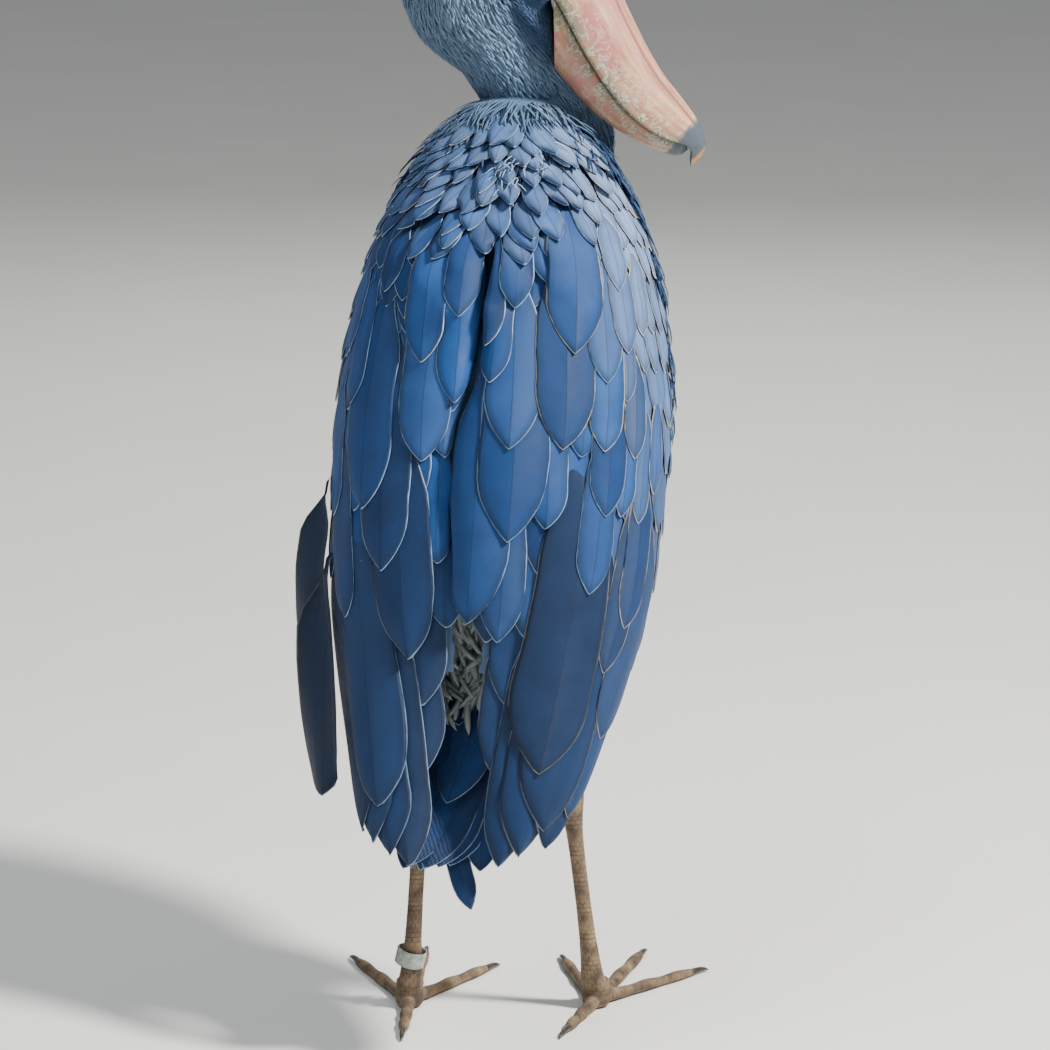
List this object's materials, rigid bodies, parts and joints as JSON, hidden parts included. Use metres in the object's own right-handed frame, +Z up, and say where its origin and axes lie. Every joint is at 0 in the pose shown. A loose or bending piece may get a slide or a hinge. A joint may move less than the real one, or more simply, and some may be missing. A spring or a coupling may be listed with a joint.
{
  "type": "shoebill",
  "caption": "Shoebill standing with folded wings, its big hooked bill turned down over its right shoulder.",
  "frame": {"origin": "on the floor, under the middle of the bird's bounding box", "axes": "+Z up along the standing bird, -Y the way the body faces, +X to the bird's left"},
  "size_m": [0.3966, 0.4114, 1.2108],
  "materials": {
    "slate_plumage": "matt blue-grey slate feathers, each with a thin pale edge and a dark shaft",
    "grey_down": "soft short blue-grey feathers",
    "horn_bill": "satin pinkish-beige horn, mottled cream and grey, with a dark nail",
    "pale_eye": "wet, pale grey-yellow iris round a dark pupil",
    "leg_scales": "matt brown-grey skin with fine scales",
    "dark_claw": "satin dark horn",
    "ring_plastic": "satin pale grey-green plastic, slightly worn"
  },
  "bodies": {
    "root": {"bill_lower": "horn_bill", "bill_upper": "horn_bill", "claw_hind_left": "dark_claw", "claw_hind_right": "dark_claw", "claw_inner_left": "dark_claw", "claw_inner_right": "dark_claw", "claw_middle_left": "dark_claw", "claw_middle_right": "dark_claw", "claw_outer_left": "dark_claw", "claw_outer_right": "dark_claw", "eye_left": "pale_eye", "eye_right": "pale_eye", "foot_left": "leg_scales", "foot_right": "leg_scales", "head": "grey_down", "leg_ring": "ring_plastic", "neck": "grey_down", "shank_left": "leg_scales", "shank_right": "leg_scales", "tail": "slate_plumage", "tarsus_left": "leg_scales", "tarsus_right": "leg_scales", "thigh_left": "grey_down", "thigh_right": "grey_down", "toe_hind_left": "leg_scales", "toe_hind_right": "leg_scales", "toe_inner_left": "leg_scales", "toe_inner_right": "leg_scales", "toe_middle_left": "leg_scales", "toe_middle_right": "leg_scales", "toe_outer_left": "leg_scales", "toe_outer_right": "leg_scales", "torso": "slate_plumage", "wing_left": "slate_plumage", "wing_right": "slate_plumage"}
  },
  "joints": []
}
